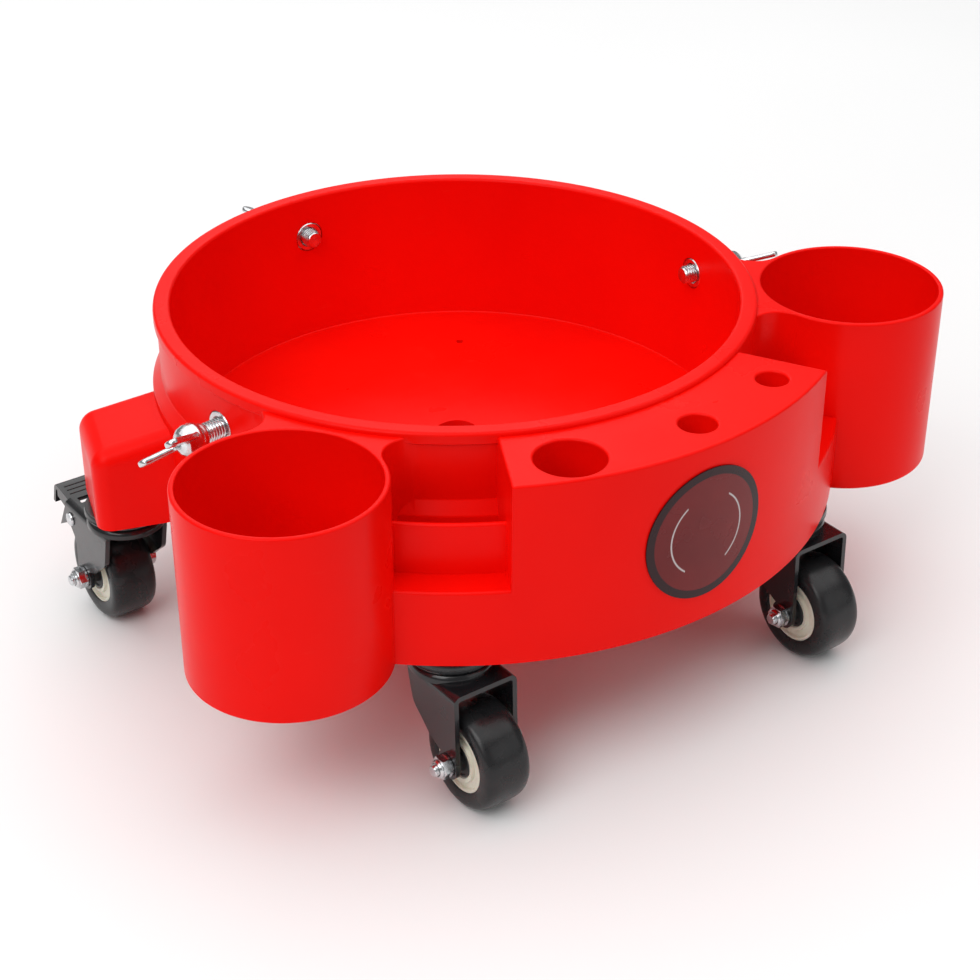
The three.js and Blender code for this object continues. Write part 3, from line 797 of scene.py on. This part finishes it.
def fork_side(braked):
    """The fork's side view: legs running down and back from the crown to the axle."""
    toe = arc(-TRAIL, WHEEL_R, TOE_R, 200, 400, 18)
    lead = [(CROWN_LEAD - 17.2, CROWN_TOP - 30.2), (CROWN_LEAD - 11.7, CROWN_TOP - 25.2),
            (CROWN_LEAD - 7, CROWN_TOP - 21.5), (CROWN_LEAD - 5.2, CROWN_TOP - 19.6),
            (CROWN_LEAD - 4.2, CROWN_TOP - 17.4), (CROWN_LEAD - 1, CROWN_TOP - 4.9), (CROWN_LEAD, CROWN_TOP + 1)]
    trail = [(-CROWN_TRAIL, CROWN_TOP + 1)]
    if braked:
        trail = [(-34, CROWN_TOP + 1), (-36, CROWN_TOP - 4), (-34.6, CROWN_TOP - 9), (-32, CROWN_TOP - 13),
                 (-CROWN_TRAIL - 1.5, CROWN_TOP - 18), (-CROWN_TRAIL, CROWN_TOP - 22)]
    return side_plate("silhouette", [*toe, *lead, *trail], -ACROSS, ACROSS)


def pedal_bore():
    return moved(turned(rod("pin", PEDAL_PIN_R + GAP, -ACROSS, ACROSS, 24), 90, "Y"), y=PEDAL_Y, z=PEDAL_Z)


def fork(braked):
    body = keep(bent_sheet(-ACROSS, ACROSS / 2), fork_side(braked))
    if braked:
        body = cut(body, block("opening", 2 * (LEG_GAP - 3.0), 20, 50, 70, 0, -CROWN_TRAIL - 10))
    bore = STEM_R + GAP
    low, top = CROWN_TOP - SHEET, CROWN_TOP
    dome = revolve("dome", [
        (bore, low), (DOME_R - 3, low), (DOME_R - 1.2, low + 0.5), (DOME_R - 0.1, top - 0.9),
        (DOME_R, top + 0.2), (DOME_R - 0.1, top + 1.2), (DOME_R - 0.6, top + 2.4), (DOME_R - 1.6, top + 3.4),
        (DOME_R - 2.8, top + DOME_RISE), (bore, top + DOME_RISE)], 80)
    body = cut(join(body, dome), rod("bore", bore, low - 8, top + 9, 40))
    axle = turned(rod("axle", AXLE_R + GAP, -ACROSS, ACROSS, 32), 90, "Y")
    body = cut(body, moved(axle, y=-TRAIL, z=WHEEL_R))
    if braked:
        body = cut(body, pedal_bore())
    return bevel(body, 0.45, 2, 40)


def on_axle(obj):
    return moved(turned(obj, 90, "Y"), y=-TRAIL, z=WHEEL_R)


def tread():
    half = WHEEL_WIDTH / 2
    crown = []
    for i in range(-16, 17):
        t = i / 16
        x = half * math.sin(t * math.pi / 2)
        drop = 5.2 * abs(t) ** 3.2
        crown.append((WHEEL_R - drop, x))
    side = [(TREAD_IN + 1.2, half - 0.15), (TREAD_IN, half - 0.9)]
    start = [(TREAD_IN, 0.9 - half), (TREAD_IN + 1.2, 0.15 - half)]
    return on_axle(revolve("tread", [*start, *crown, *side], 112))


def hub():
    half = WHEEL_WIDTH / 2 - 0.6
    bore, out = BEARING_R + GAP, TREAD_IN - GAP

    def face(s):
        return [(bore, s * (half - 0.6)), (bore + 0.5, s * half), (bore + 2.1, s * half),
                (bore + 2.7, s * (half - 1.4)), (out - 1.9, s * (half - 1.6)), (out - 1.4, s * (half - 0.3)),
                (out, s * (half - 0.5))]

    return on_axle(revolve("hub", [*face(-1), *reversed(face(1))], 96))


def bearing():
    half = WHEEL_WIDTH / 2 - 0.3
    bore, reach = AXLE_R + GAP, LEG_GAP - GAP

    def face(s):
        return [(bore, s * reach), (SPACER_R - 0.4, s * reach), (SPACER_R, s * (reach - 0.4)),
                (SPACER_R, s * (half - 0.9)), (BEARING_R - 1.3, s * (half - 0.9)),
                (BEARING_R - 1.0, s * (half - 0.3)), (BEARING_R - 0.3, s * (half - 0.3)),
                (BEARING_R, s * (half - 0.6))]

    return on_axle(revolve("bearing", [*face(-1), *reversed(face(1))], 80))


def hexagon(name, flats, z0, z1, chamfer):
    """A hexagon with its corners turned down at the far end."""
    across = flats / math.sqrt(3)
    body = rod(name, across, z0, z1, 6)
    trim = chamfer and revolve("trim", [
        (0, z0 - 1), (across + 1, z0 - 1), (across + 1, z1 - (across + 1 - flats / 2) * 0.55),
        (flats / 2 - 0.1, z1), (0, z1 + 0.001)], 72)
    return keep(body, trim) if chamfer else body


def axle_bolt(side):
    face = LEG_GAP + SHEET + GAP
    shank = threaded("bolt", AXLE_R, FINE_PITCH, -face - 1, face + 8, 0.6, 32)
    head = turned(hexagon("head", NUT_FLATS, face, face + 4, True), 180, "X")
    bolt = join(shank, head)
    return on_axle(bolt if side > 0 else turned(bolt, 180, "X"))


def axle_nut(side):
    face = LEG_GAP + SHEET + GAP
    flange = rod("flange", NUT_FLATS / 2 + 0.6, face, face + 0.9, 48)
    collar = revolve("collar", [
        (0, face + 3), (NUT_FLATS / 2 - 0.5, face + 3), (NUT_FLATS / 2 - 0.5, face + 5.2),
        (NUT_FLATS / 2 - 1.2, face + 6), (0, face + 6)], 48)
    nut = join(hexagon("nut", NUT_FLATS, face, face + 4.5, True), flange, collar)
    nut = cut(nut, rod("bore", AXLE_R + GAP, face - 1, face + 9, 32))
    return on_axle(nut if side > 0 else turned(nut, 180, "X"))


def pedal():
    """A pressed channel with a curled paddle and three grip ridges, and the shoe below it."""
    half = LEG_GAP - GAP
    y, z = PEDAL_Y, PEDAL_Z
    cheek = [(y + 3, z - 3), (y + 3, z + 3), (y - 8, z + 5), (y - 20, z + 7), (y - 20, z + 3),
             (y - 12.5, z + 0.6), (y - 20.6, z - 14), (y - 5.4, z - 5)]
    top = [(y - 6.5, z + 4.5), (y - 6.5, z + 6.7), (y - 20, z + 9), (y - 22, z + 8.8), (y - 23.3, z + 7.4),
           (y - 26, z - 2), (y - 24, z - 2.6), (y - 21.7, z + 5.6), (y - 20.6, z + 6.6), (y - 19, z + 6.7)]
    near = WHEEL_R + SHOE_LIFT
    shoe = [*arc(-TRAIL, WHEEL_R, near, 113.5, 125, 4), *arc(-TRAIL, WHEEL_R, near + SHEET, 125, 113.5, 4)]
    lever = side_plate("cheek", cheek, half - SHEET, half)
    lever = join(lever, side_plate("cheek", cheek, -half, SHEET - half), side_plate("top", top, -half, half),
                 side_plate("shoe", shoe, -half, half))
    lever = bevel(lever, 0.4, 2, 40)
    for step in range(3):
        ridge = turned(rod("ridge", 0.45, -half + 3, half - 3, 16), 90, "Y")
        lever = join(lever, moved(ridge, y=y - 11 - 3.2 * step, z=z + 7.35 + 0.55 * step))
    return cut(lever, pedal_bore())


def pedal_pin():
    out = LEG_GAP + SHEET + GAP
    head = [(PIN_HEAD_R, out), (PIN_HEAD_R - 0.3, out + 0.8), (2.2, out + 1.35), (0, out + 1.4)]
    other = [(r, -z) for r, z in reversed(head)]
    profile = [*other, (PEDAL_PIN_R, -out), (PEDAL_PIN_R, out), *head]
    return moved(turned(revolve("pin", profile, 40), 90, "Y"), y=PEDAL_Y, z=PEDAL_Z)


# ---------- assembly ----------
def add_moulding():
    finish_piece(moulding(), "moulding", "dolly", ["dolly_body"], RED, 28)
    finish_piece(sticker(), "label", "dolly", ["front_sticker"], LABEL)


def add_screw(name, angle, turn):
    where = Matrix.Translation((0, 0, (DECK + SCREW_HEIGHT) * MM)) @ Matrix.Rotation(rad(angle), 4, "Z")
    parts = [
        ("clamp_rod", screw_rod(), f"screw_{name}", "clamp_screw"),
        ("clamp_head", wing_head(turn), f"wing_{name}", "clamp_wing"),
        ("clamp_bush", screw_insert(), "dolly", "clamp_insert"),
    ]
    for piece, obj, body, node in parts:
        finish_piece(place(obj, where), f"{piece}_{name}", body, [f"{node}_{name}"], ZINC)


def add_caster(name, angle, turn, braked, side):
    x, y = CASTER_RADIUS * math.sin(rad(angle)), -CASTER_RADIUS * math.cos(rad(angle))
    where = Matrix.Translation((x * MM, y * MM, 0)) @ Matrix.Rotation(rad(turn), 4, "Z")
    swivel, wheel = f"swivel_{name}", f"wheel_{name}"
    parts = [
        ("stem", stem(), "dolly", "zinc_steel", "caster_stem", ZINC),
        ("race", race(), "dolly", "black_steel", "caster_race", BLACK_STEEL),
        ("fork", fork(braked), swivel, "black_steel", "caster_fork", BLACK_STEEL),
        ("tread", tread(), wheel, "black_tread", "wheel_tread", BLACK_TREAD),
        ("hub", hub(), wheel, "cream_nylon", "wheel_hub", CREAM),
        ("bearing", bearing(), wheel, "black_seal", "wheel_bearing", BLACK_SEAL),
        ("bolt", axle_bolt(side), swivel, "zinc_steel", "axle_bolt", ZINC),
        ("nut", axle_nut(side), swivel, "zinc_steel", "axle_nut", ZINC),
    ]
    if braked:
        parts += [
            ("pedal", pedal(), f"pedal_{name}", "black_steel", "brake_pedal", BLACK_STEEL),
            ("rivet", pedal_pin(), swivel, "zinc_steel", "brake_pin", ZINC),
        ]
    for piece, obj, body, slot, node, material in parts:
        finish_piece(place(obj, where), f"{piece}_{name}", body, [f"{node}_{name}"], material)


def add_stage():
    mesh = bpy.data.meshes.new("floor")
    corners = [(x * FLOOR_REACH, y * FLOOR_REACH, 0) for x, y in ((-1, -1), (1, -1), (1, 1), (-1, 1))]
    mesh.from_pydata(corners, [], [(0, 1, 2, 3)])
    floor = bpy.data.objects.new("floor", mesh)
    bpy.context.scene.collection.objects.link(floor)
    paint = Paint("floor_white")
    tone = paint.ramp(paint.noise(1.5, 2.0), [(0.3, (0.86, 0.86, 0.86)), (0.7, (0.89, 0.89, 0.89))])
    paint.set(Base_Color=tone)
    paint.set(Roughness=0.6, Specular_IOR_Level=0.2)
    mesh.materials.append(paint.material)


def add_light(name, where, target, size, watts):
    light = bpy.data.lights.new(name, "AREA")
    light.shape = "RECTANGLE"
    light.size, light.size_y = size
    light.energy = watts
    obj = bpy.data.objects.new(name, light)
    obj.location = where
    obj.rotation_euler = (Vector(target) - Vector(where)).to_track_quat("-Z", "Y").to_euler()
    bpy.context.scene.collection.objects.link(obj)


def add_lights():
    middle = (0, 0, 0.1)
    add_light("key", (-1.6, -0.6, 1.5), middle, (1.4, 1.4), 16)
    add_light("fill", (0.9, -1.9, 0.9), middle, (1.6, 1.2), 4)
    add_light("top", (0, 0.8, 3.4), (0, 0.8, 0), PLATE, 205)
    add_light("back", (0.8, 1.8, 1.2), middle, (1.4, 1.0), 3)
    world = bpy.data.worlds.new("studio")
    world.use_nodes = True
    world.node_tree.nodes["Background"].inputs["Color"].default_value = (1, 1, 1, 1)
    world.node_tree.nodes["Background"].inputs["Strength"].default_value = 0.25
    bpy.context.scene.world = world


VIEW_AZIMUTH, VIEW_PITCH, VIEW_TURN = -34.8, 30.86, 1.07  # degrees
CAMERA_REACH, CAMERA_HEIGHT, CAMERA_LENS = 0.912, 0.594, 74.5  # metres, metres, millimetres


def add_camera():
    camera = bpy.data.cameras.new("camera")
    camera.lens = CAMERA_LENS
    camera.sensor_width = 36
    obj = bpy.data.objects.new("camera", camera)
    azimuth = rad(VIEW_AZIMUTH)
    obj.location = (CAMERA_REACH * math.sin(azimuth), -CAMERA_REACH * math.cos(azimuth), CAMERA_HEIGHT)
    obj.rotation_euler = (rad(90 - VIEW_PITCH), 0, azimuth - rad(VIEW_TURN))
    bpy.context.scene.collection.objects.link(obj)
    bpy.context.scene.camera = obj


add_camera()
add_lights()
add_stage()
add_moulding()
for screw_name, screw in SCREWS.items():
    add_screw(screw_name, *screw)
for caster_name, caster in CASTERS.items():
    add_caster(caster_name, *caster)

bpy.context.scene.view_settings.view_transform = "Standard"
